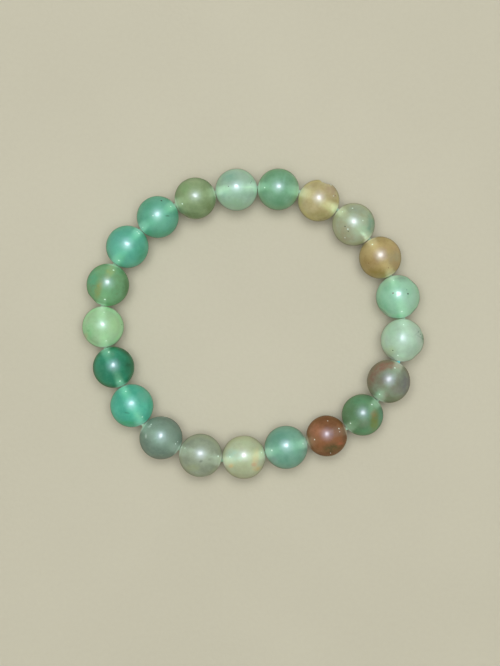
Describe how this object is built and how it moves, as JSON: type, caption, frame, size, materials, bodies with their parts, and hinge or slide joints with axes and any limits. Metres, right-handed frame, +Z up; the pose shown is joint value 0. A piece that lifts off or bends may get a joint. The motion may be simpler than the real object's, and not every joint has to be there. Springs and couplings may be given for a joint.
{
  "type": "gemstone bead bracelet",
  "caption": "Stretch bracelet of round polished translucent stone beads in mint, teal, olive and brown, threaded on an elastic cord and lying as an open oval loop.",
  "frame": {"origin": "on the surface the bracelet lies on, under the middle of its oval outline", "axes": "+X along the longer side of the oval, +Y along the shorter side, +Z up out of the surface"},
  "size_m": [0.065, 0.059, 0.0083],
  "materials": {
    "stone_01": "polished translucent pale mint stone",
    "stone_02": "polished translucent mid green stone",
    "stone_03": "polished translucent khaki stone",
    "stone_04": "polished translucent grey green stone",
    "stone_05": "polished translucent tan stone",
    "stone_06": "polished translucent mint stone",
    "stone_07": "polished translucent pale mint stone",
    "stone_08": "polished translucent taupe stone",
    "stone_09": "polished translucent moss green stone",
    "stone_10": "polished translucent red brown stone",
    "stone_11": "polished translucent teal green stone",
    "stone_12": "polished translucent cream green stone",
    "stone_13": "polished translucent grey green stone",
    "stone_14": "polished translucent grey teal stone",
    "stone_15": "polished translucent bright teal stone",
    "stone_16": "polished translucent dark green stone",
    "stone_17": "polished translucent light green stone",
    "stone_18": "polished translucent olive green stone",
    "stone_19": "polished translucent teal stone",
    "stone_20": "polished translucent teal stone",
    "stone_21": "polished translucent sage stone",
    "elastic": "smooth slightly glossy mint elastic"
  },
  "bodies": {
    "root": {"bead_01": "stone_01", "bead_02": "stone_02", "bead_03": "stone_03", "bead_04": "stone_04", "bead_05": "stone_05", "bead_06": "stone_06", "bead_07": "stone_07", "bead_08": "stone_08", "bead_09": "stone_09", "bead_10": "stone_10", "bead_11": "stone_11", "bead_12": "stone_12", "bead_13": "stone_13", "bead_14": "stone_14", "bead_15": "stone_15", "bead_16": "stone_16", "bead_17": "stone_17", "bead_18": "stone_18", "bead_19": "stone_19", "bead_20": "stone_20", "bead_21": "stone_21", "elastic_cord": "elastic"}
  },
  "joints": []
}
